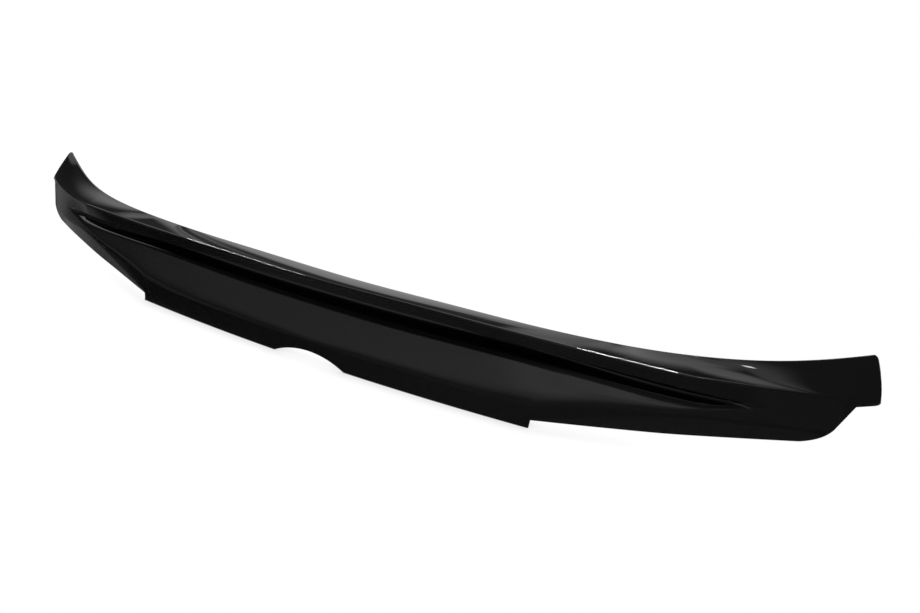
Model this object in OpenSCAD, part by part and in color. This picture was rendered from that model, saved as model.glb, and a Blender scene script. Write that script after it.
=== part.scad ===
// Ducktail boot-lid spoiler, moulded in one piece as an open-backed shell.
// X runs across the car, +Y points to the front of the car and +Z is up.
// The origin is on the middle plane, under the bonding land of the front edge, halfway
// across its width: that is where the part is stuck down.

/* [Size] */
// Half of the width across the two ears
half_w = 710; // [706:1:716]
// Thickness of the moulded wall
wall = 3; // [2.5:0.1:3.5]
// Thickness of the land along the front edge that the adhesive tape sits on
land = 4.2; // [3.6:0.1:4.6]
// Width of that land
land_w = 14; // [10:1:18]

/* [Lip and nose] */
// Radius left on the trailing lip, measured along each side of the corner
lip_r = 3; // [2:0.5:4]
// Radius left on the lower edge of the nose
nose_r = 3; // [2:0.5:4]
// Radius in the corners of the cove under the nose
cove_r = 6; // [4:0.5:7]
// Where the lip bends down towards the ear, from the middle
lip_bend_x = 524; // [520:1:530]
// Where the cove and the nose have run out into the corner, from the middle
run_out_x = 612; // [606:1:618]

/* [Skirt] */
// Half of the width of the tab that hangs between the lamps
tab_half_w = 340; // [336:1:344]
// Half of the width of the badge notch at the foot of the tab
notch_half_w = 62; // [50:1:66]
// Height of the badge notch
notch_h = 14; // [10:1:16]
// Height of the soft crease above the foot of the tab
crease_h = 32; // [30:1:34]
// Softness of that crease, measured along each side of it
crease_r = 13; // [8:1:14]
// How much the lower face of the skirt leans back, as a slope
foot_lean = 0.14; // [0.1:0.01:0.18]

/* [Ears] */
// How far the end of each ear leans in at its top
ear_lean = 18; // [14:1:20]
// Radius on the two corners at the end of each ear
ear_r = 5; // [3:0.5:6]

/* [Hidden] */

// Feature lines of the right half, each a list of [x, y, z] from the middle out, with
// z from the foot of the tab. A fair curve runs through the points, level where it
// crosses the middle plane.
front_edge = [[0, 92, 83], [170, 88, 88], [300, 81, 95], [400, 77, 103], [460, 79, 108],
    [524, 91, 112], [600, 120, 117], [650, 144, 124], [692, 164, 133]];
deck_hollow = [[0, 42, 107], [170, 46, 107], [343, 53, 106], [440, 62, 104], [524, 80, 103],
    [600, 100, 100], [660, 119, 98], [710, 150, 110]];
lip_inner = [[0, -8, 122], [170, 3, 119], [343, 26, 110], [440, 41, 105], [524, 54, 101]];
lip_outer = [[524, 54, 101], [600, 81, 98], [660, 108, 94], [710, 135, 89]];
nose_foot = [[0, -1, 105], [170, 7, 102], [343, 25, 94], [440, 41, 88], [524, 58, 82],
    [612, 84, 75]];
cove_top = [[0, 27, 96], [170, 30, 94], [343, 42, 87], [440, 54, 80], [524, 67, 75],
    [612, 84, 74]];
cove_floor = [[0, 24, 85], [170, 27, 85], [343, 38, 82], [440, 50, 75], [524, 64, 71],
    [612, 84, 73]];
skirt_top = [[0, 12, 76], [170, 14, 77], [343, 25, 77], [440, 40, 71], [524, 56, 67],
    [612, 83, 72]];
skirt_crease = [[0, -10, crease_h], [170, -7, crease_h], [280, 0, crease_h],
    [343, 8, crease_h + 7], [440, 30, 51], [524, 52, 61], [612, 82, 71]];
wing_crease = [[341, 2, 13], [440, 28, 36], [524, 50, 53], [612, 78, 55]];
wing_foot = [[341, 3, 10], [400, 20, 14], [450, 34, 18], [500, 47, 23], [550, 61, 29],
    [600, 76, 35], [640, 90, 39]];

// Foot of the tab: height 0, bowed back by this much in the middle
tab_bow = 15;
// Width of the step at each end of the tab
step_w = 0.5;
// Rounded outer corner of the skirt: its start, its bend, its end and the ear it meets
corner_a = [640, 90, 39];
corner_b = [664, 99, 44];
corner_c = [673, 105, 57];
corner_d = [689, 121, 84];
// Lower edge of the ear at its end
ear_foot = [710, 138, 85];
// Where the ear starts to lean in, and the power that bows its end
lean_x = 600;
lean_bow = 1.5;
// How far out the lines start to run together, before the run-out
run_in_x = 540;
// Places of the run-out lines between the lip and the wing crease, as fractions
run_out = [0.45, 0.51, 0.57, 0.63, 0.69];
// The wing crease past the run-out: its place between the lip and the foot there and at the
// outer edge, the power of the change, where it meets that edge and how far it stands out
crease_in = 0.7;
crease_out = 0.92;
crease_bow = 2.5;
crease_end_x = 668;
crease_stand = 4;
// Height of the wing crease in the tab, as a fraction from the foot to the soft crease
wing_crease_in_tab = 0.32;
// Share of a side that a rounded corner may use
corner_share = 0.42;
// Passes that bring the slopes of a fair curve to rest
fair_passes = 24;
// How far the inside of the skirt lies below its outside, as a share of the wall, and the
// height of the section under which that share fades
skirt_drop = 0.4;
thin_h = 40;
// Width of the slope between the land and the wall, as a share of the deck
land_step = 0.03;
// Points along the deck outside and inside, and along each rounded corner
deck_n = 9;
inner_n = 4;
corner_n = 3;
// Steps from station to station across the notch, the tab, the wing, the run-out and the
// rounded corner of the skirt
notch_n = 9;
tab_n = 13;
wing_n = 9;
run_n = 8;
bend_n = 6;

// Slopes that keep the bend of the curve through P even at every point
function gap(P, i) = P[i + 1][0] - P[i][0];
function rise(P, i) = [P[i + 1][1] - P[i][1], P[i + 1][2] - P[i][2]] / gap(P, i);
function next_slopes(P, m) = let (last = len(P) - 1) [for (i = [0:last])
    i == 0 ? (P[0][0] == 0 ? [0, 0] : (3 * rise(P, 0) - m[1]) / 2)
    : i == last ? (3 * rise(P, last - 1) - m[last - 1]) / 2
    : (3 * (rise(P, i - 1) / gap(P, i - 1) + rise(P, i) / gap(P, i))
        - m[i - 1] / gap(P, i - 1) - m[i + 1] / gap(P, i))
        / (2 / gap(P, i - 1) + 2 / gap(P, i))];
function settle(P, m, passes) = passes == 0 ? m : settle(P, next_slopes(P, m), passes - 1);
function slopes(P) = settle(P, [for (p = P) [0, 0]], fair_passes);

// [y, z] at x on the fair curve through P, whose slopes are m
function span(P, x, i = 0) = i >= len(P) - 2 || x < P[i + 1][0] ? i : span(P, x, i + 1);
function on_curve(P, m, x) = let (
    i = span(P, x), w = gap(P, i), t = (x - P[i][0]) / w,
    p = [P[i][1], P[i][2]], q = [P[i + 1][1], P[i + 1][2]])
    p * (1 - 3 * t * t + 2 * t * t * t) + q * (3 * t * t - 2 * t * t * t)
    + m[i] * w * (t - 2 * t * t + t * t * t) + m[i + 1] * w * (t * t * t - t * t);

front_m = slopes(front_edge);
deck_m = slopes(deck_hollow);
lip_inner_m = slopes(lip_inner);
lip_outer_m = slopes(lip_outer);
run_lines = [nose_foot, cove_top, cove_floor, skirt_top, skirt_crease];
run_m = [for (P = run_lines) slopes(P)];
wing_crease_m = slopes(wing_crease);
wing_foot_m = slopes(wing_foot);

function blend(a, b, t) = a + (b - a) * t;
function yz(p) = [p[1], p[2]];
// Curve from a to c that bends towards b, and the t at which such a curve has the value v
function bend(a, b, c, t) = a * pow(1 - t, 2) + b * 2 * t * (1 - t) + c * t * t;
function bend_place(a, b, c, v) = let (k = b - a)
    (v - a) / (k + sqrt(k * k + (a - 2 * b + c) * (v - a)));
function ease(t) = let (c = min(1, max(0, t))) c * c * (3 - 2 * c);

// The end of the ear leans in, most at the front edge, along a slightly bowed line
function lean_in(s) = ear_lean * pow(max(0, s - lean_x) / (half_w - lean_x), 2);
// What the end of the ear loses to its rounded corners
function ear_round(s) = s < half_w - ear_r ? 0
    : ear_r - sqrt(max(0, ear_r * ear_r - pow(s - half_w + ear_r, 2)));

// Height of the badge notch at x
notch_arc_r = (notch_half_w * notch_half_w + notch_h * notch_h) / (2 * notch_h);
function notch_z(x) = x >= notch_half_w ? 0
    : sqrt(notch_arc_r * notch_arc_r - x * x) - notch_arc_r + notch_h;

// Foot of the skirt at station s: tab with its notch, step, wing, rounded corner, ear
function tab_foot(s) = let (z = notch_z(s))
    [tab_bow * (pow(s / tab_half_w, 2) - 1) + foot_lean * z, z];
function corner_foot(s) = yz(bend(corner_a, corner_b, corner_c,
    bend_place(corner_a[0], corner_b[0], corner_c[0], s)));
function straight(a, b, s) = yz(blend(a, b, (s - a[0]) / (b[0] - a[0])));
function foot(s) = s <= tab_half_w - step_w ? tab_foot(s)
    : s < tab_half_w + step_w ? blend(tab_foot(tab_half_w - step_w),
        on_curve(wing_foot, wing_foot_m, tab_half_w + step_w), (s - tab_half_w + step_w) / (2 * step_w))
    : s <= corner_a[0] ? on_curve(wing_foot, wing_foot_m, s)
    : s <= corner_c[0] ? corner_foot(s)
    : s <= corner_d[0] ? straight(corner_c, corner_d, s)
    : straight(corner_d, ear_foot, s) + [0, ear_round(s) / 2];

function lip(s) = s < lip_bend_x ? on_curve(lip_inner, lip_inner_m, s)
    : on_curve(lip_outer, lip_outer_m, min(s, half_w));

// How far the lines have run together at station s, from 0 to 1
function run_in(s) = ease((s - run_in_x) / (run_out_x - run_in_x));

// The wing crease at station s, which goes on past the run-out to the outer edge
function outer_crease(s) = let (t = min(1, max(0, s - run_out_x) / (crease_end_x - run_out_x)))
    blend(lip(s), foot(s), blend(crease_in, crease_out, pow(t, crease_bow)))
    - [crease_stand * (1 - t * t), 0];
function wing_crease_point(s) = let (
    free = s < tab_half_w ? blend(foot(s), on_curve(skirt_crease, run_m[4], s), wing_crease_in_tab)
        : on_curve(wing_crease, wing_crease_m, min(s, run_out_x)))
    blend(free, outer_crease(s), run_in(s));

// Nose, cove and skirt lines at station s, which run together towards the corner
function run_point(k, s) = k == 5 ? wing_crease_point(s)
    : blend(on_curve(run_lines[k], run_m[k], min(s, run_out_x)),
        blend(lip(s), wing_crease_point(s), run_out[k]), run_in(s));

// A corner at b between a and c, rounded over the length r along each side
function rounded(a, b, c, r, n = corner_n) = let (
    la = norm(a - b), lc = norm(c - b), ra = min(r, la * corner_share), rc = min(r, lc * corner_share),
    p = b + (a - b) / la * ra, q = b + (c - b) / lc * rc)
    [for (i = [0:n - 1]) bend(p, b, q, i / (n - 1))];

// The deck at station s: a curve from the front edge to the lip, bent towards its hollow,
// cut back at the end of the ear by the rounded corner. D holds its ends and its hollow,
// and the share that is cut back.
function deck_ends(s) = let (
    D = [on_curve(front_edge, front_m, s - lean_in(s)), on_curve(deck_hollow, deck_m, s), lip(s)],
    t = ear_round(s) / norm(D[0] - D[2]))
    [bend(D[0], D[1], D[2], t), blend(D[1], D[2], t), D[2], t];
function on_deck(D, t) = bend(D[0], D[1], D[2], t);
function deck_x(s, D, t) = s - lean_in(s) * pow((1 - t) * (1 - D[3]), lean_bow);
function deck_down(D, t) = let (d = (D[1] - D[0]) * (1 - t) + (D[2] - D[1]) * t)
    [-d[1], d[0]] / norm(d);
// Place on the deck, from 0 at the front edge to 1 at the lip, that lies at the depth y
function deck_place(D, y) = 1 - bend_place(D[2][0], D[1][0], D[0][0], y);

// Outer skin at station s, as [x, y, z] from the front edge over the lip to the foot
function outer_skin(s) = let (
    D = deck_ends(s),
    line = concat([D[2]], [for (k = [0:5]) run_point(k, s)], [foot(s)]),
    near_lip = on_deck(D, 1 - 1 / deck_n),
    line_r = [nose_r, cove_r, cove_r, cove_r / 2, blend(crease_r, nose_r, run_in(s)), nose_r])
    concat([for (i = [0:deck_n - 1]) let (t = i / deck_n, p = on_deck(D, t)) [deck_x(s, D, t), p[0], p[1]]],
        [for (p = rounded(near_lip, line[0], line[1], lip_r)) [s, p[0], p[1]]],
        [for (k = [1:6], p = rounded(line[k - 1], line[k], line[k + 1], line_r[k - 1])) [s, p[0], p[1]]],
        [[s, line[7][0], line[7][1]]]);

// Inner skin at station s, back from the foot to the front edge: the skirt moved in by the
// wall, a solid nose, and the deck moved down by the wall, with the land at its front
function under_deck(s, D, t, depth) = let (p = on_deck(D, t) + deck_down(D, t) * depth)
    [deck_x(s, D, t), p[0], p[1]];
function inner_skin(s) = let (
    D = deck_ends(s), E = foot(s),
    drop = wall * skirt_drop * min(1, (D[2][1] - E[1]) / thin_h),
    y_bend = max(run_point(1, s)[0], D[2][0]) + wall,
    t_bend = deck_place(D, y_bend), t_land = land_w / norm(D[0] - D[2]))
    concat([[s, E[0] + wall, E[1]]],
        [for (k = [5:-1:1]) let (p = run_point(k, s)) [s, p[0] + wall, p[1] - drop]],
        [for (i = [0:inner_n]) under_deck(s, D, blend(t_bend, t_land + land_step, i / inner_n), wall)],
        [for (t = [t_land, 0]) under_deck(s, D, t, land)]);

// Middle of the underside of the land, where the origin goes
land_mid = let (D = deck_ends(0)) under_deck(0, D, land_w / norm(D[0] - D[2]) / 2, land);

// Stations from the middle out: close together at the notch, the step and the corners
function steps(a, b, n, first = 1) = [for (i = [first:n]) blend(a, b, i / n)];
half_stations = concat(steps(0, notch_half_w, notch_n, 0),
    steps(notch_half_w, tab_half_w - step_w, tab_n),
    steps(tab_half_w + step_w, lip_bend_x, wing_n, 0),
    steps(lip_bend_x, run_out_x, run_n),
    steps(run_out_x, corner_a[0], 2),
    [for (i = [1:bend_n]) bend(corner_a, corner_b, corner_c, i / bend_n)[0]],
    steps(corner_c[0], corner_d[0], 3),
    steps(corner_d[0], half_w - ear_r, 2),
    [for (a = [30:30:90]) half_w - ear_r + ear_r * sin(a)]);
last_station = len(half_stations) - 1;
stations = concat([for (i = [last_station:-1:1]) -half_stations[i]], half_stations);

// Point of the inner skin, counted from the front edge, that faces point i of the outer skin
under_n = inner_n + 2;
function facing(i, outer_n, ring_n) = i < deck_n ? round(i * under_n / deck_n)
    : under_n + round((i - deck_n) * (ring_n - outer_n - 1 - under_n) / (outer_n - 1 - deck_n));

// The end of an ear: a strip of triangles between the outer and the inner skin of one ring
function end_strip(outer_n, ring_n) = [for (i = [0:outer_n - 2])
    let (j = facing(i, outer_n, ring_n), k = facing(i + 1, outer_n, ring_n))
    each concat([[i, i + 1, ring_n - 1 - j]],
        j == k ? [] : [for (m = [j:k - 1]) [i + 1, ring_n - 2 - m, ring_n - 1 - m]])];

module spoiler_shell() {
    rings = [for (s = stations) [for (p = concat(outer_skin(abs(s)), inner_skin(abs(s))))
        [p[0] * (s < 0 ? -1 : 1), p[1], p[2]]]];
    n = len(rings[0]);
    end = len(rings) - 1;
    sides = [for (i = [0:end - 1], j = [0:n - 1]) let (
        a = i * n + j, b = i * n + (j + 1) % n, c = b + n, d = a + n)
        each [[a, c, b], [a, d, c]]];
    strip = end_strip(len(outer_skin(0)), n);
    far_end = [for (f = strip) [f[0], f[2], f[1]] + [1, 1, 1] * end * n];
    color([0.05, 0.05, 0.055])
        polyhedron([for (r = rings, p = r) p - land_mid], concat(sides, strip, far_end));
}

spoiler_shell();
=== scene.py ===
"""Looks of a one-piece ducktail spoiler in gloss black, set up as a small Blender add-on.

The shell is lofted from the same feature lines as the construction model, at a finer
step, and takes that model's place. The stage is a pale floor in soft studio light.
"""

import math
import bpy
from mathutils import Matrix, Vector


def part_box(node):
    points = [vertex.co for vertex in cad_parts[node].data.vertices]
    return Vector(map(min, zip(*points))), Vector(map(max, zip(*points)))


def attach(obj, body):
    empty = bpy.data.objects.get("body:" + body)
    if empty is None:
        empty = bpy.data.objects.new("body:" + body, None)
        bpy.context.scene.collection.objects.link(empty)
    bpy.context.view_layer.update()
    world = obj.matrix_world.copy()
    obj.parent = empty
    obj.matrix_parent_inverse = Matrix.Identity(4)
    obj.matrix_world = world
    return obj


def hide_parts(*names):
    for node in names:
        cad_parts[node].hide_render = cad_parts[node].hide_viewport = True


bl_info = {
    "name": "Ducktail spoiler",
    "version": (1, 0, 0),
    "blender": (4, 5, 0),
    "location": "View3D > Sidebar > Spoiler",
    "description": "Builds a gloss black boot-lid spoiler and the stage it is shown on",
    "category": "Add Mesh",
}

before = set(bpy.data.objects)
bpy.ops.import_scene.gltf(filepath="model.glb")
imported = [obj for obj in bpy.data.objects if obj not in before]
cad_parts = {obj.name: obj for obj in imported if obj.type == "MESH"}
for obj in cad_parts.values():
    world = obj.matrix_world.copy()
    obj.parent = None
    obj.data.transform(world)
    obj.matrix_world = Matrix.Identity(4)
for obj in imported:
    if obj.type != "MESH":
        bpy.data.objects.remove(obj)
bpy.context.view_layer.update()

import bpy
import numpy as np
from bpy.props import FloatProperty, FloatVectorProperty, PointerProperty

NODE = "spoiler_shell"
SHELL_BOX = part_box(NODE)
MM = 0.001

# Feature lines of the right half in millimetres, each point as x, y, z from the middle
# out. The front of the car is at greater y, and z is the height over the foot of the tab
FRONT_EDGE = [(0, 92, 83), (170, 88, 88), (300, 81, 95), (400, 77, 103), (460, 79, 108),
              (524, 91, 112), (600, 120, 117), (650, 144, 124), (692, 164, 133)]
DECK_HOLLOW = [(0, 42, 107), (170, 46, 107), (343, 53, 106), (440, 62, 104),
               (524, 80, 103), (600, 100, 100), (660, 119, 98), (710, 150, 110)]
LIP_INNER = [(0, -8, 122), (170, 3, 119), (343, 26, 110), (440, 41, 105), (524, 54, 101)]
LIP_OUTER = [(524, 54, 101), (600, 81, 98), (660, 108, 94), (710, 135, 89)]
NOSE_FOOT = [(0, -1, 105), (170, 7, 102), (343, 25, 94), (440, 41, 88), (524, 58, 82),
             (612, 84, 75)]
COVE_TOP = [(0, 27, 96), (170, 30, 94), (343, 42, 87), (440, 54, 80), (524, 67, 75),
            (612, 84, 74)]
COVE_FLOOR = [(0, 24, 85), (170, 27, 85), (343, 38, 82), (440, 50, 75), (524, 64, 71),
              (612, 84, 73)]
SKIRT_TOP = [(0, 12, 76), (170, 14, 77), (343, 25, 77), (440, 40, 71), (524, 56, 67),
             (612, 83, 72)]
SKIRT_CREASE = [(0, -10, 32), (170, -7, 32), (280, 0, 32), (343, 8, 39), (440, 30, 51),
                (524, 52, 61), (612, 82, 71)]
WING_CREASE = [(341, 2, 13), (440, 28, 36), (524, 50, 53), (612, 78, 55)]
WING_FOOT = [(341, 3, 10), (400, 20, 14), (450, 34, 18), (500, 47, 23), (550, 61, 29),
             (600, 76, 35), (640, 90, 39)]

# Rounded outer corner of the skirt, and the lower edge of the ear at its end
CORNER_A = (640, 90, 39)
CORNER_B = (664, 99, 44)
CORNER_C = (673, 105, 57)
CORNER_D = (689, 121, 84)
EAR_FOOT = (710, 138, 85)

# Nose, cove and skirt lines from the top down. Past the run-out, each lies at its share
# of the way from the lip to the lowest crease
RUN_LINES = ((NOSE_FOOT, 0.45), (COVE_TOP, 0.51), (COVE_FLOOR, 0.57), (SKIRT_TOP, 0.63),
             (SKIRT_CREASE, 0.69))

# Distances from the middle in millimetres: the end of the ear, the side of the tab and
# of its notch, the bend in the lip, the stretch over which the run lines come together,
# the end of the lowest crease, and the place from which the ear leans in
HALF_W = 710
TAB_HALF_W = 340
NOTCH_HALF_W = 62
LIP_BEND_X = 524
RUN_IN_X = 540
RUN_OUT_X = 612
CREASE_END_X = 668
LEAN_X = 600

# Foot of the tab: its bow to the rear, the height of its notch, the lean of its face as
# a share of the height, and half the width of the step up to the wing
TAB_BOW = 15
NOTCH_H = 14
FOOT_LEAN = 0.14
STEP_HALF_W = 0.5

# Lowest crease: its share of the way from foot to skirt crease in the tab, its shares of
# the way from lip to foot at the run-out and at its end, the power of the curve between
# those two, and how far it stands out to the rear at the run-out
CREASE_IN_TAB = 0.32
CREASE_IN = 0.7
CREASE_OUT = 0.92
CREASE_BOW = 2.5
CREASE_STAND = 4

# Ear: the power by which its lean fades from its top edge to the lip, and the share of
# the rounding of its end that lifts its foot
LEAN_BOW = 1.5
EAR_FOOT_LIFT = 0.5

# Radii of the section's corners in millimetres, of which the last is also that of its
# inner edges, and the largest share of a side that a corner may take
RIM_R = 1.5
NOSE_FOOT_R = 0.6
COVE_R = 6
SKIRT_TOP_R = 5
CREASE_R = 13
WING_CREASE_R = 3
EDGE_R = 1
CORNER_SHARE = 0.42

# Inside: the skin behind the skirt sits lower by a share of the wall, and by less where
# the section is lower than this many millimetres. The land thins down to the wall over a
# share of the deck's width
SKIRT_DROP = 0.4
THIN_H = 40
LAND_STEP = 0.03

# Distance in millimetres from the front edge to the point that gives the rim the slope
# of the deck
RIM_AIM = 10

# Stretches of stations from the middle out: the place where each ends, and its steps.
# One more stretch leads to the rounded end of the ear, which has a station at each of
# these turns in degrees
STRETCHES = ((NOTCH_HALF_W, 26), (TAB_HALF_W - STEP_HALF_W, 99), (TAB_HALF_W + STEP_HALF_W, 4),
             (LIP_BEND_X, 61), (CORNER_A[0], 45), (CORNER_D[0], 29))
EAR_STEPS = 8
EAR_END_TURNS = (15, 30, 45, 60, 75, 90)

# Points of a section: round the front rim, over the deck, round each corner from the lip
# down to the foot, on each face between those corners, under the deck, and round each
# inner edge
RIM_POINTS = 5
DECK_STEPS = 30
CORNER_POINTS = (9, 6, 6, 6, 5, 9, 6, 4)
FACE_POINTS = (6, 3, 4, 4, 9, 4, 4)
ROOF_STEPS = 12
EDGE_POINTS = 3

# Closing of the shell: vertices within this many millimetres of each other become one,
# and an edge that turns by less than this many degrees is shaded smooth
WELD = 0.01
CREASE_ANGLE = 40

# Plastic: its refraction, the scale and detail of the slight haze and the shares of the
# roughness between which it goes, and the scale, detail and depth in millimetres of the
# orange peel
PLASTIC_IOR = 1.5
HAZE_SCALE = 9
HAZE_DETAIL = 4
HAZE_RANGE = (0.7, 1.3)
PEEL_SCALE = 260
PEEL_DETAIL = 1
PEEL_DEPTH = 0.02

# Floor: half its side and the reach of the contact shadow, in metres, and the share of
# the white that this shadow can take
FLOOR_HALF_W = 6
SHADOW_REACH = 0.02
SHADOW_SHARE = 0.5

# Light on the floor and in the room, as seen in the gloss. On the floor this is painted light and painted
# shade, which the floor gives off only to glossy rays. Each light has its strength and then the fades that
# shape it.
# A fade has the direction along which it goes, the two places between which it changes, and its values
# before and after, if not 0 and 1. A place is in metres on the floor, and part of a direction of length 1
# in the room
ALONG_X = (1, 0, 0)
ALONG_Y = (0, 1, 0)
UP = (0, 0, 1)
FLOOR_BEYOND = (0.28, (ALONG_Y, 0.15, 0.22), (ALONG_Y, 0.55, 1.35, 1, 0))
FLOOR_FAR = (0.26, ((1, 0.5, 0), 0, 0.2), (ALONG_Y, 0.5, 0.9))
FLOOR_FAR_LEFT = (0.18, (ALONG_X, -2.2, -2.8), (ALONG_Y, 3, 5, 1, 0.5), (ALONG_Y, 1.2, 1.8))
FLOOR_NEAR = (1, (ALONG_Y, 0.1, 0.2, 0.15, 0.04))
FLOOR_LEFT_END = (0.2, (ALONG_Y, -0.05, 0.02), (ALONG_Y, 0.1, 0.2, 1, 0), (ALONG_X, -0.4, -0.55),
                  (ALONG_X, -0.76, -0.7, 0.3, 1))
# Painted shade in the floor's reflection: its values are below 0, so it takes light away
FLOOR_DUSK = (1, (ALONG_Y, -0.45, -0.22), (ALONG_Y, -0.12, -0.06, 1, 0),
              (ALONG_X, -0.5, 0.3, -0.12, -0.04), (ALONG_X, -1.1, -0.85))

# Round gap in the light beyond: its middle, and the distances over which light returns
FLOOR_GAP = ((-0.75, 0.9), 0.2, 0.45)


def level(degrees):
    """How far up a direction points that is this many degrees over the floor."""
    return math.sin(math.radians(degrees))


ROOM_SIDE = (1, (ALONG_X, -0.5, 0.1, 0.04, 0.12))
ROOM_OVERHEAD = (1, ((1, 0.45, 0), 0.03, -0.07), ((0.15, 1, 0), -0.2, -0.1),
                 (UP, level(19), level(35)), (UP, level(72), level(82), 1.25, 0.72))
ROOM_STRIP = (0.6, (UP, 0.92, 0.95), (ALONG_X, -0.1, -0.05), (ALONG_X, 0.1, -0.02),
              (ALONG_Y, -0.38, -0.28))

# Round spot overhead: its strength, its middle, and the distances over which it fades in
ROOM_SPOT = (1.15, (-0.2, 0.45), 0.22, 0.08)

# Upright panels of the room, in degrees: the turn is from the front of the car to the
# right, and the height is over the floor. Each has the middle of its turn, half of its
# spread, the softness of its sides, the heights between which it comes in, the heights
# between which it goes out, and its strength. The rear panel is dimmed along x as well.
# Straight up, a direction has no turn, so its level part is taken as at least a little
LEVEL_MIN = 0.001
REAR_PANEL = (-168, 6, 62, -4, 12, 17, 27, 1)
REAR_FADES = ((ALONG_X, 0, -0.14, 0.06, 0.4), (ALONG_X, -0.8, -0.45, 0.75, 1))
ROOM_PANELS = (
    (-171, 5, 12, 8, 17, 22, 30, 0.2),
    (-178, 3, 7, 18, 25, 30, 36, 0.45),
    (-93, 0.5, 3, 8, 12, 20, 26, 0.5),
    (-43, 1.5, 2, -1, 0, 9, 12, 0.35),
    (-47, 2, 4, 8, 11, 16, 22, 0.35),
    (-27, 0.5, 1.8, -20, -10, 22, 30, 0.3),
    (-29.5, 2.5, 2, 8, 16, 26, 34, 0.2),
)

# Lamps that shine straight down: place and size in metres, and power in watts
LAMPS = {
    "top_strip": ((0.363, -0.05, 0.43), (0.152, 0.016), 4),
    "side_strip": ((-0.43, -0.04, 0.3), (0.42, 0.016), 4.5),
    "top_spot": ((0.5, -0.05, 2.4), (0.06, 0.12), 0.35),
}

# Camera: its place in metres, its look down and its turn in degrees, and its sensor
CAMERA_PLACE = (1.0017, -1.1682, 0.636)
CAMERA_DOWN = 23.73
CAMERA_TURN = 35.07
SENSOR_W = 36


class FairCurve:
    """A line through points x, y, z whose bend never jumps, read as y, z at any x."""

    def __init__(self, points):
        table = np.array(points, float)
        self.x = table[:, 0]
        self.yz = table[:, 1:]
        gap = np.diff(self.x)
        rise = np.diff(self.yz, axis=0) / gap[:, None]
        n = len(self.x)
        lhs = np.zeros((n, n))
        rhs = np.zeros((n, 2))
        for i in range(1, n - 1):
            lhs[i, i - 1:i + 2] = 1 / gap[i - 1], 2 / gap[i - 1] + 2 / gap[i], 1 / gap[i]
            rhs[i] = 3 * (rise[i - 1] / gap[i - 1] + rise[i] / gap[i])
        if self.x[0] == 0:
            lhs[0, 0] = 1
        else:
            lhs[0, :2] = 2, 1
            rhs[0] = 3 * rise[0]
        lhs[-1, -2:] = 1, 2
        rhs[-1] = 3 * rise[-1]
        self.slope = np.linalg.solve(lhs, rhs)

    def __call__(self, x):
        x = np.asarray(x, float)
        i = np.clip(np.searchsorted(self.x, x, side="right") - 1, 0, len(self.x) - 2)
        w = (self.x[i + 1] - self.x[i])[:, None]
        t = (x[:, None] - self.x[i][:, None]) / w
        return (self.yz[i] * (1 - 3 * t**2 + 2 * t**3) + self.yz[i + 1] * (3 * t**2 - 2 * t**3)
                + self.slope[i] * w * (t - 2 * t**2 + t**3) + self.slope[i + 1] * w * (t**3 - t**2))


def blend(a, b, t):
    """Share t of the way from a to b."""
    return a + (b - a) * t


def ease(t):
    """The same share with a soft start and a soft end."""
    t = np.clip(t, 0, 1)
    return t * t * (3 - 2 * t)


def bend(a, b, c, t):
    """Point at t on the curve from a to c that bends towards b."""
    return a * (1 - t)**2 + b * 2 * t * (1 - t) + c * t * t


def bend_place(a, b, c, value):
    """The t at which such a curve has the given value."""
    k = b - a
    return (value - a) / (k + np.sqrt(k * k + (a - 2 * b + c) * (value - a)))


def length(v):
    """Length of every vector, as a column."""
    return np.linalg.norm(v, axis=-1, keepdims=True)


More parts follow.
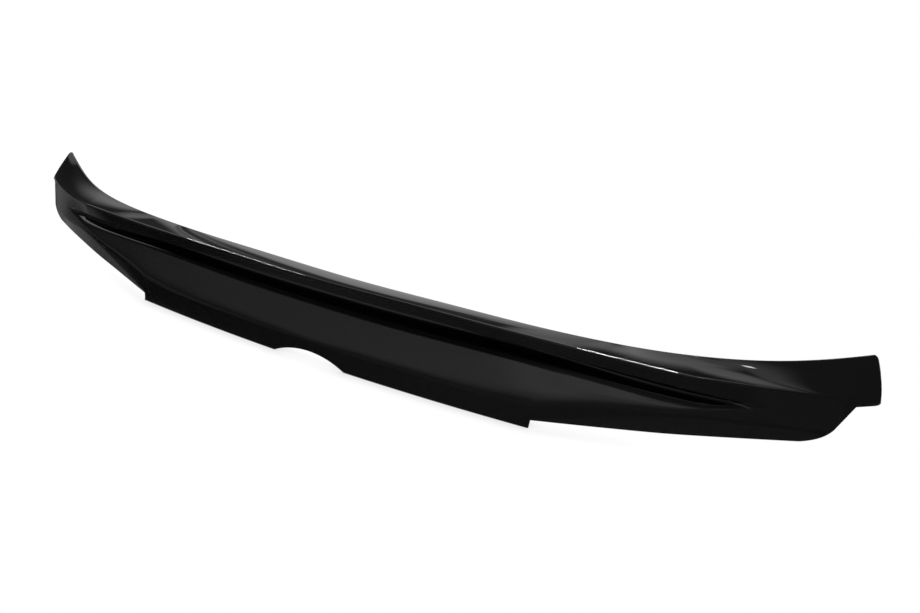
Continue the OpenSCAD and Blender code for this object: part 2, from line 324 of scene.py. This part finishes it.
class Lines:
    """Every feature line of the right half in millimetres, as rows of y, z at the stations s."""

    def __init__(self, s, ear_lean, ear_r):
        self.s = s
        self.column = s[:, None]
        lean = ear_lean * (np.maximum(0, s - LEAN_X) / (HALF_W - LEAN_X))**2
        self.lean = lean[:, None]
        front = FairCurve(FRONT_EDGE)(s - lean)
        hollow = FairCurve(DECK_HOLLOW)(s)
        self.lip = np.where(self.column < LIP_BEND_X, FairCurve(LIP_INNER)(s), FairCurve(LIP_OUTER)(s))
        # What the rounded end of the ear takes off the front edge, and that as a share
        edge = np.maximum(0, self.column - HALF_W + ear_r)
        self.loss = ear_r - np.sqrt(np.maximum(0, ear_r**2 - edge**2))
        self.cut = self.loss / length(front - self.lip)
        self.front = bend(front, hollow, self.lip, self.cut)
        self.hollow = blend(hollow, self.lip, self.cut)
        self.width = length(self.front - self.lip)
        self.foot = self.foot_line()
        self.run_in = ease((self.column - RUN_IN_X) / (RUN_OUT_X - RUN_IN_X))
        crease = self.wing_crease()
        self.run = [self.run_line(points, place, crease) for points, place in RUN_LINES] + [crease]

    def tab_foot(self, s):
        """Foot of the tab, with the arch of the notch in its middle."""
        arc_r = (NOTCH_HALF_W**2 + NOTCH_H**2) / (2 * NOTCH_H)
        z = np.sqrt(np.maximum(0, arc_r**2 - s**2)) - arc_r + NOTCH_H
        z = np.where(s < NOTCH_HALF_W, z, 0)
        y = TAB_BOW * ((s / TAB_HALF_W)**2 - 1) + FOOT_LEAN * z
        return np.stack([y, z], -1)

    def foot_line(self):
        """Lower edge of the whole half: the tab, its step, the wing, its corner and the ear."""
        wing = FairCurve(WING_FOOT)
        a, b, c, d, e = (np.array(p, float) for p in (CORNER_A, CORNER_B, CORNER_C, CORNER_D, EAR_FOOT))
        step_in = np.full_like(self.s, TAB_HALF_W - STEP_HALF_W)
        step_out = step_in + 2 * STEP_HALF_W
        t = (self.column - step_in[:, None]) / (2 * STEP_HALF_W)
        step = blend(self.tab_foot(step_in), wing(step_out), t)
        t = bend_place(a[0], b[0], c[0], np.clip(self.column, a[0], c[0]))
        corner = bend(a[1:], b[1:], c[1:], t)
        rise = blend(c[1:], d[1:], (self.column - c[0]) / (d[0] - c[0]))
        ear = blend(d[1:], e[1:], (self.column - d[0]) / (e[0] - d[0]))
        ear = ear + self.loss * (0, EAR_FOOT_LIFT)
        out = np.where(self.column <= TAB_HALF_W - STEP_HALF_W, self.tab_foot(self.s), step)
        out = np.where(self.column >= TAB_HALF_W + STEP_HALF_W, wing(self.s), out)
        for start, edge in ((a[0], corner), (c[0], rise), (d[0], ear)):
            out = np.where(self.column > start, edge, out)
        return out

    def wing_crease(self):
        """The lowest crease, which goes on past the run-out to the outer edge."""
        in_tab = blend(self.foot, FairCurve(SKIRT_CREASE)(self.s), CREASE_IN_TAB)
        in_wing = FairCurve(WING_CREASE)(np.minimum(self.s, RUN_OUT_X))
        free = np.where(self.column < TAB_HALF_W, in_tab, in_wing)
        t = np.clip((self.column - RUN_OUT_X) / (CREASE_END_X - RUN_OUT_X), 0, 1)
        outer = blend(self.lip, self.foot, blend(CREASE_IN, CREASE_OUT, t**CREASE_BOW))
        return blend(free, outer - (1 - t * t) * (CREASE_STAND, 0), self.run_in)

    def run_line(self, points, place, crease):
        """A nose, cove or skirt line, which runs in towards the corner with the others."""
        free = FairCurve(points)(np.minimum(self.s, RUN_OUT_X))
        return blend(free, blend(self.lip, crease, place), self.run_in)

    def flat(self, yz):
        """Points x, y, z of a line that lies in the planes of the stations."""
        return np.concatenate([self.column, yz], -1)

    def under_deck(self, t, depth):
        """Points y, z at t from the front edge to the lip, at a depth below the deck."""
        deck = bend(self.front, self.hollow, self.lip, t)
        along = blend(self.hollow - self.front, self.lip - self.hollow, t)
        down = np.stack([-along[:, 1], along[:, 0]], -1) / length(along)
        return deck + down * depth

    def on_deck(self, t, depth=0):
        """Such points as x, y, z, leaning in with the ear."""
        x = self.column - self.lean * ((1 - t) * (1 - self.cut))**LEAN_BOW
        return np.concatenate([x, self.under_deck(t, depth)], -1)


def arc(a, b, c, r, n):
    """Points round the corner at b, which starts r before it and ends r after it."""
    la, lc = length(a - b), length(c - b)
    p = b + (a - b) / la * np.minimum(r, la * CORNER_SHARE)
    q = b + (c - b) / lc * np.minimum(r, lc * CORNER_SHARE)
    return [bend(p, b, q, i / (n - 1)) for i in range(n)]


def share(i, n):
    """Share i of n of the way, in steps that are short at both ends."""
    return (1 - math.cos(math.pi * i / n)) / 2


def fill(a, b, n):
    """n points between a and b, without the two ends."""
    return [blend(a, b, share(i, n + 1)) for i in range(1, n + 1)]


def half_stations(ear_r):
    """Stations of the right half, closer together where the foot line turns quickly."""
    ear_end = HALF_W - ear_r
    stations = [0.0]
    for end, steps in (*STRETCHES, (ear_end, EAR_STEPS)):
        stations += list(np.linspace(stations[-1], end, steps + 1)[1:])
    stations += list(ear_end + ear_r * np.sin(np.radians(EAR_END_TURNS)))
    return np.array(stations)


def outer_skin(shape, lines):
    """Rows of points from the front rim over the deck, round the lip and down to the foot."""
    wall, land, lip_r = shape.wall / MM, shape.land / MM, shape.lip_r / MM
    start = RIM_R / lines.width
    lip_side = np.minimum(lip_r, lines.width * CORNER_SHARE) / lines.width
    deck_aim = lines.on_deck(RIM_AIM / lines.width)
    rows = arc(lines.on_deck(0, land), lines.on_deck(0), deck_aim, RIM_R, RIM_POINTS)
    for i in range(1, DECK_STEPS):
        rows.append(lines.on_deck(blend(start, 1 - lip_side, share(i, DECK_STEPS))))
    foot_in = lines.foot + (wall, 0)
    corners = [lines.on_deck(1 - lip_side / CORNER_SHARE)]
    corners += [lines.flat(line) for line in (lines.lip, *lines.run, lines.foot, foot_in)]
    crease_r = blend(CREASE_R, WING_CREASE_R, lines.run_in)
    radii = (lip_r, NOSE_FOOT_R, COVE_R, COVE_R, SKIRT_TOP_R, crease_r, WING_CREASE_R, EDGE_R)
    for i, (r, n) in enumerate(zip(radii, CORNER_POINTS)):
        turn = arc(*corners[i:i + 3], r, n)
        if i:
            rows += fill(rows[-1], turn[0], FACE_POINTS[i - 1])
        rows += turn
    return rows


def inner_skin(shape, lines):
    """Rows of points from the foot up the back of the skirt and under the deck to the rim."""
    wall, land = shape.wall / MM, shape.land / MM
    height = lines.lip[:, 1:] - lines.foot[:, 1:]
    drop = wall * SKIRT_DROP * np.minimum(1, height / THIN_H)
    shift = np.concatenate([np.full_like(drop, wall), -drop], -1)
    back = [lines.flat(line + shift) for line in reversed(lines.run[1:])]
    foot, foot_in = lines.flat(lines.foot), lines.flat(lines.foot + (wall, 0))
    rows = arc(foot, foot_in, back[0], EDGE_R, EDGE_POINTS) + back
    y_bend = np.maximum(lines.run[1][:, :1], lines.lip[:, :1]) + wall
    t_bend = 1 - bend_place(lines.lip[:, :1], lines.hollow[:, :1], lines.front[:, :1], y_bend)
    t_land = shape.land_w / MM / lines.width
    for i in range(ROOF_STEPS + 1):
        rows.append(lines.on_deck(blend(t_bend, t_land + LAND_STEP, i / ROOF_STEPS), wall))
    rows += [lines.on_deck(t_land, land), lines.on_deck(t_land / 2, land)]
    return rows + arc(rows[-1], lines.on_deck(0, land), lines.on_deck(0), EDGE_R, EDGE_POINTS)


def land_middle(shape):
    """Middle of the underside of the bonding land, where the frame has its origin."""
    lines = Lines(np.array([0.0]), shape.ear_lean / MM, shape.ear_r / MM)
    return lines.on_deck(shape.land_w / MM / lines.width / 2, shape.land / MM)[0]


def end_faces(first, outer_n, inner_n):
    """Faces that close the end of the ear, between the outer and inner skin of its section."""
    faces = []
    last = first + outer_n + inner_n - 1
    for i in range(outer_n - 1):
        j, k = (round(m * (inner_n - 1) / (outer_n - 1)) for m in (i, i + 1))
        faces.append((first + i, first + i + 1, *(last - m for m in range(k, j - 1, -1))))
    return faces


def half_mesh(shape):
    """The right half of the shell as a mesh that is open on the middle plane."""
    lines = Lines(half_stations(shape.ear_r / MM), shape.ear_lean / MM, shape.ear_r / MM)
    outer, inner = outer_skin(shape, lines), inner_skin(shape, lines)
    sections = np.stack(outer + inner, 1) - land_middle(shape)
    stations, n = sections.shape[:2]
    faces = []
    for i in range(stations - 1):
        for j in range(n):
            a, b = i * n + j, i * n + (j + 1) % n
            faces.append((a, b, b + n, a + n))
    faces += end_faces((stations - 1) * n, len(outer), len(inner))
    mesh = bpy.data.meshes.new("half_shell")
    mesh.from_pydata((sections.reshape(-1, 3) * MM).tolist(), [], faces)
    mesh.update()
    return mesh


def mirror_tree():
    """Geometry nodes that close a half shell on the middle plane and give it its finish."""
    tree = bpy.data.node_groups.new("Mirrored shell", "GeometryNodeTree")
    face = tree.interface
    face.new_socket("Half shell", in_out="INPUT", socket_type="NodeSocketGeometry")
    weld = face.new_socket("Weld distance", in_out="INPUT", socket_type="NodeSocketFloat")
    crease = face.new_socket("Crease angle", in_out="INPUT", socket_type="NodeSocketFloat")
    finish = face.new_socket("Finish", in_out="INPUT", socket_type="NodeSocketMaterial")
    face.new_socket("Shell", in_out="OUTPUT", socket_type="NodeSocketGeometry")
    node = tree.nodes.new
    link = tree.links.new
    start = node("NodeGroupInput")
    turned = node("GeometryNodeTransform")
    turned.inputs["Scale"].default_value = (-1, 1, 1)
    flipped = node("GeometryNodeFlipFaces")
    joined = node("GeometryNodeJoinGeometry")
    welded = node("GeometryNodeMergeByDistance")
    angle = node("GeometryNodeInputMeshEdgeAngle")
    soft = node("FunctionNodeCompare")
    soft.operation = "LESS_THAN"
    smooth = node("GeometryNodeSetShadeSmooth")
    edges = node("GeometryNodeSetShadeSmooth")
    edges.domain = "EDGE"
    real = node("GeometryNodeRealizeInstances")
    painted = node("GeometryNodeSetMaterial")
    end = node("NodeGroupOutput")
    link(start.outputs["Half shell"], turned.inputs["Geometry"])
    link(turned.outputs[0], flipped.inputs[0])
    link(start.outputs["Half shell"], joined.inputs[0])
    link(flipped.outputs[0], joined.inputs[0])
    link(joined.outputs[0], welded.inputs["Geometry"])
    link(start.outputs["Weld distance"], welded.inputs["Distance"])
    link(welded.outputs[0], smooth.inputs["Geometry"])
    link(smooth.outputs[0], edges.inputs["Geometry"])
    link(angle.outputs["Unsigned Angle"], soft.inputs[0])
    link(start.outputs["Crease angle"], soft.inputs[1])
    link(soft.outputs[0], edges.inputs["Shade Smooth"])
    link(edges.outputs[0], real.inputs[0])
    link(real.outputs[0], painted.inputs["Geometry"])
    link(start.outputs["Finish"], painted.inputs["Material"])
    link(painted.outputs[0], end.inputs[0])
    return tree, weld.identifier, crease.identifier, finish.identifier


def closed_shell(half, finish):
    """The whole shell as a plain mesh object at the origin."""
    source = bpy.data.objects.new("half_shell", half)
    bpy.context.collection.objects.link(source)
    tree, weld, crease, paint = mirror_tree()
    modifier = source.modifiers.new("Mirrored shell", "NODES")
    modifier.node_group = tree
    modifier[weld] = WELD * MM
    modifier[crease] = math.radians(CREASE_ANGLE)
    modifier[paint] = finish
    graph = bpy.context.evaluated_depsgraph_get()
    mesh = bpy.data.meshes.new_from_object(source.evaluated_get(graph))
    source.modifiers.clear()
    bpy.data.objects.remove(source)
    shell = bpy.data.objects.new("gloss_shell", mesh)
    bpy.context.collection.objects.link(shell)
    return shell


def gloss_black(finish):
    """Polished black plastic: a deep black under a clear gloss with a trace of orange peel."""
    material = bpy.data.materials.new("Gloss black plastic")
    material.use_nodes = True
    nodes, link = material.node_tree.nodes, material.node_tree.links.new
    shader = nodes["Principled BSDF"]
    shader.inputs["Base Color"].default_value = (*finish.colour, 1)
    shader.inputs["IOR"].default_value = PLASTIC_IOR
    place = nodes.new("ShaderNodeTexCoord")

    def noise(scale, detail):
        texture = nodes.new("ShaderNodeTexNoise")
        texture.inputs["Scale"].default_value = scale
        texture.inputs["Detail"].default_value = detail
        link(place.outputs["Object"], texture.inputs["Vector"])
        return texture.outputs["Fac"]

    spread = nodes.new("ShaderNodeMapRange")
    spread.inputs["To Min"].default_value = finish.roughness * HAZE_RANGE[0]
    spread.inputs["To Max"].default_value = finish.roughness * HAZE_RANGE[1]
    link(noise(HAZE_SCALE, HAZE_DETAIL), spread.inputs["Value"])
    link(spread.outputs["Result"], shader.inputs["Roughness"])
    bump = nodes.new("ShaderNodeBump")
    bump.inputs["Strength"].default_value = finish.orange_peel
    bump.inputs["Distance"].default_value = PEEL_DEPTH * MM
    link(noise(PEEL_SCALE, PEEL_DETAIL), bump.inputs["Height"])
    link(bump.outputs["Normal"], shader.inputs["Normal"])
    return material


class SpoilerShape(bpy.types.PropertyGroup):
    """Sizes of the shell."""

    wall: FloatProperty(name="Wall", description="Thickness of the moulded wall",
                        default=3 * MM, unit="LENGTH")
    land: FloatProperty(name="Land", description="Thickness of the land along the front edge",
                        default=4.2 * MM, unit="LENGTH")
    land_w: FloatProperty(name="Land width", description="Width of that land",
                          default=14 * MM, unit="LENGTH")
    lip_r: FloatProperty(name="Lip", description="Rounding of the trailing lip along each side",
                         default=3 * MM, unit="LENGTH")
    ear_r: FloatProperty(name="Ear corner", description="Radius on the corners of an ear",
                         default=5 * MM, unit="LENGTH")
    ear_lean: FloatProperty(name="Ear lean", description="How far the end of an ear leans in at its top",
                            default=18 * MM, unit="LENGTH")


class SpoilerFinish(bpy.types.PropertyGroup):
    """Colour and gloss of the shell."""

    colour: FloatVectorProperty(name="Colour", description="Colour under the gloss", subtype="COLOR",
                                size=3, min=0, max=1, default=(0.0015, 0.0015, 0.0016))
    roughness: FloatProperty(name="Roughness", description="How soft the reflections are",
                             default=0.04, min=0, max=1, subtype="FACTOR")
    orange_peel: FloatProperty(name="Orange peel", description="Depth of the fine ripple in the gloss",
                               default=0.1, min=0, max=1, subtype="FACTOR")


class SpoilerStage(bpy.types.PropertyGroup):
    """Floor, light and camera."""

    floor_colour: FloatVectorProperty(name="Floor", description="Colour of the floor", subtype="COLOR",
                                      size=3, min=0, max=1, default=(0.85, 0.85, 0.85))
    sky: FloatProperty(name="Room light", description="Strength of the light of the room",
                       default=0.3, min=0)
    lens: FloatProperty(name="Lens", description="Focal length of the camera in millimetres",
                        default=46.96, min=10)


class SPOILER_OT_shell(bpy.types.Operator):
    """Make the gloss black shell in place of the plain one"""

    bl_idname = "spoiler.shell"
    bl_label = "Gloss shell"

    def execute(self, context):
        finish = gloss_black(context.scene.spoiler_finish)
        shell = closed_shell(half_mesh(context.scene.spoiler_shape), finish)
        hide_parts(NODE)
        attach(shell, "root")
        return {"FINISHED"}


class LightTree:
    """Shader nodes of the floor or the room, with methods that give the socket they end in."""

    def __init__(self, tree, coordinates):
        self.new = tree.nodes.new
        self.link = tree.links.new
        self.place = self.new("ShaderNodeTexCoord").outputs[coordinates]
        path = self.new("ShaderNodeLightPath").outputs
        self.by_camera = path["Is Camera Ray"]
        self.by_gloss = self.maths("MAXIMUM", path["Is Glossy Ray"], path["Is Transmission Ray"])

    def feed(self, node, values):
        """Set or link a node's inputs in their order."""
        for socket, value in zip(node.inputs, values):
            if isinstance(value, bpy.types.NodeSocket):
                self.link(value, socket)
            else:
                socket.default_value = value

    def maths(self, operation, first, *others):
        """The operation on the first value and every other one in turn."""
        for other in others:
            node = self.new("ShaderNodeMath")
            node.operation = operation
            self.feed(node, (first, other))
            first = node.outputs[0]
        return first

    def vector(self, operation, output, *values):
        """The operation on vectors, read at the named output."""
        node = self.new("ShaderNodeVectorMath")
        node.operation = operation
        self.feed(node, values)
        return node.outputs[output]

    def along(self, direction):
        """Place along a direction."""
        return self.vector("DOT_PRODUCT", "Value", self.place, direction)

    def reach(self, middle):
        """Distance from a point, without regard to height."""
        flat = self.vector("MULTIPLY", "Vector", self.place, (1, 1, 0))
        return self.vector("DISTANCE", "Value", flat, (*middle, 0))

    def fade(self, value, start, end, before=0, after=1):
        """Smooth change from one level before the start to another after the end."""
        if start > end:
            start, end, before, after = end, start, after, before
        node = self.new("ShaderNodeMapRange")
        node.interpolation_type = "SMOOTHSTEP"
        self.feed(node, (value, start, end, before, after))
        return node.outputs["Result"]

    def light(self, strength, *fades):
        """Light of a strength, shaped by its fades."""
        for direction, *levels in fades:
            strength = self.maths("MULTIPLY", strength, self.fade(self.along(direction), *levels))
        return strength

    def panel(self, turn, spread, soft, low, full, dim, off, strength):
        """Upright panel of light at a turn and between two heights."""
        a = math.radians(turn)
        ahead = self.along((math.sin(a), math.cos(a), 0))
        flat = self.maths("MAXIMUM", self.reach((0, 0)), LEVEL_MIN)
        edges = [math.cos(math.radians(degrees)) for degrees in (spread + soft, spread)]
        side = self.fade(self.maths("DIVIDE", ahead, flat), *edges)
        rise = ((UP, level(low), level(full)), (UP, level(dim), level(off), 1, 0))
        return self.maths("MULTIPLY", side, self.light(strength, *rise))

    def white(self, kind, strength):
        """White light of a kind of node."""
        node = self.new(kind)
        node.inputs["Color"].default_value = (1, 1, 1, 1)
        self.link(strength, node.inputs["Strength"])
        return node.outputs[0]

    def mix(self, amount, first, second):
        """The first light, and the second one in its place by an amount."""
        node = self.new("ShaderNodeMixShader")
        self.feed(node, (amount, first, second))
        return node.outputs[0]


def pale_floor(stage):
    """White to the camera with a soft contact shadow, and dim with soft patches of painted light and shade
    in the gloss.
    """
    material = bpy.data.materials.new("Pale floor")
    material.use_nodes = True
    material.node_tree.nodes.clear()
    tree = LightTree(material.node_tree, "Object")
    lit = tree.new("ShaderNodeBsdfDiffuse")
    lit.inputs["Color"].default_value = (*stage.floor_colour, 1)
    near = tree.new("ShaderNodeAmbientOcclusion")
    near.inputs["Distance"].default_value = SHADOW_REACH
    shadow = tree.maths("MULTIPLY", near.outputs["AO"], SHADOW_SHARE)
    shown = tree.white("ShaderNodeEmission", tree.maths("ADD", shadow, 1 - SHADOW_SHARE))
    middle, *distances = FLOOR_GAP
    gap = tree.fade(tree.reach(middle), *distances)
    beyond = tree.maths("MAXIMUM", tree.light(*FLOOR_BEYOND), tree.light(*FLOOR_FAR))
    glow = tree.maths("MAXIMUM", tree.maths("MULTIPLY", beyond, gap), tree.light(*FLOOR_FAR_LEFT))
    near_side = [tree.light(*values) for values in (FLOOR_NEAR, FLOOR_LEFT_END, FLOOR_DUSK)]
    mirrored = tree.white("ShaderNodeEmission", tree.maths("ADD", glow, *near_side))
    out = tree.new("ShaderNodeOutputMaterial")
    unseen = tree.mix(tree.by_gloss, lit.outputs[0], mirrored)
    tree.link(tree.mix(tree.by_camera, unseen, shown), out.inputs["Surface"])
    return material


def make_floor(stage, height):
    """Level floor at a height, large enough to fill every view."""
    signs = ((-1, -1), (1, -1), (1, 1), (-1, 1))
    corners = [(x * FLOOR_HALF_W, y * FLOOR_HALF_W, height) for x, y in signs]
    mesh = bpy.data.meshes.new("floor")
    mesh.from_pydata(corners, [], [(0, 1, 2, 3)])
    floor = bpy.data.objects.new("floor", mesh)
    bpy.context.collection.objects.link(floor)
    floor.data.materials.append(pale_floor(stage))


def make_room(stage):
    """Room that is white to the camera and dark with soft panels in the gloss."""
    world = bpy.data.worlds.new("Studio room")
    world.use_nodes = True
    tree = LightTree(world.node_tree, "Generated")
    strength, middle, *distances = ROOM_SPOT
    spot = tree.maths("MULTIPLY", tree.fade(tree.reach(middle), *distances), strength)
    over = tree.maths("MAXIMUM", tree.light(*ROOM_OVERHEAD), spot, tree.light(*ROOM_STRIP))
    rear = tree.light(tree.panel(*REAR_PANEL), *REAR_FADES)
    panels = [tree.panel(*values) for values in ROOM_PANELS]
    mirrored = tree.maths("ADD", tree.light(*ROOM_SIDE), rear, *panels, over)
    plain = tree.maths("MAXIMUM", tree.by_camera, stage.sky)
    lights = [tree.white("ShaderNodeBackground", value) for value in (plain, mirrored)]
    tree.link(tree.mix(tree.by_gloss, *lights), world.node_tree.nodes["World Output"].inputs["Surface"])
    bpy.context.scene.world = world


def make_lamps():
    """Lamps that draw the bright line along the lip and the glint at the end of the deck."""
    for name, (place, size, power) in LAMPS.items():
        light = bpy.data.lights.new(name, "AREA")
        light.shape = "RECTANGLE"
        light.size, light.size_y = size
        light.energy = power
        lamp = bpy.data.objects.new(name, light)
        lamp.location = place
        lamp.visible_camera = False
        bpy.context.collection.objects.link(lamp)


def make_camera(stage):
    """Camera at the viewing angle of the photograph."""
    data = bpy.data.cameras.new("camera")
    data.lens = stage.lens
    data.sensor_width = SENSOR_W
    camera = bpy.data.objects.new("camera", data)
    camera.location = CAMERA_PLACE
    camera.rotation_euler = (math.radians(90 - CAMERA_DOWN), 0, math.radians(CAMERA_TURN))
    bpy.context.collection.objects.link(camera)
    bpy.context.scene.camera = camera


class SPOILER_OT_stage(bpy.types.Operator):
    """Make the floor, the room, the lamps and the camera"""

    bl_idname = "spoiler.stage"
    bl_label = "Stage"

    def execute(self, context):
        stage = context.scene.spoiler_stage
        make_floor(stage, SHELL_BOX[0][2])
        make_room(stage)
        make_lamps()
        make_camera(stage)
        context.scene.view_settings.view_transform = "Standard"
        return {"FINISHED"}


class SPOILER_PT_panel(bpy.types.Panel):
    """Everything that makes the spoiler and its stage"""

    bl_idname = "SPOILER_PT_panel"
    bl_label = "Spoiler"
    bl_space_type = "VIEW_3D"
    bl_region_type = "UI"
    bl_category = "Spoiler"

    def draw(self, context):
        for group in SETTINGS:
            settings = getattr(context.scene, group)
            box = self.layout.box()
            for name in settings.__annotations__:
                box.prop(settings, name)
        self.layout.operator(SPOILER_OT_shell.bl_idname)
        self.layout.operator(SPOILER_OT_stage.bl_idname)


CLASSES = (SpoilerShape, SpoilerFinish, SpoilerStage, SPOILER_OT_shell, SPOILER_OT_stage, SPOILER_PT_panel)
SETTINGS = {"spoiler_shape": SpoilerShape, "spoiler_finish": SpoilerFinish, "spoiler_stage": SpoilerStage}


def register():
    for cls in CLASSES:
        bpy.utils.register_class(cls)
    for name, group in SETTINGS.items():
        setattr(bpy.types.Scene, name, PointerProperty(type=group))


def unregister():
    for name in SETTINGS:
        delattr(bpy.types.Scene, name)
    for cls in reversed(CLASSES):
        bpy.utils.unregister_class(cls)


def main():
    register()
    bpy.ops.spoiler.stage()
    bpy.ops.spoiler.shell()


if __name__ == "__main__":
    main()
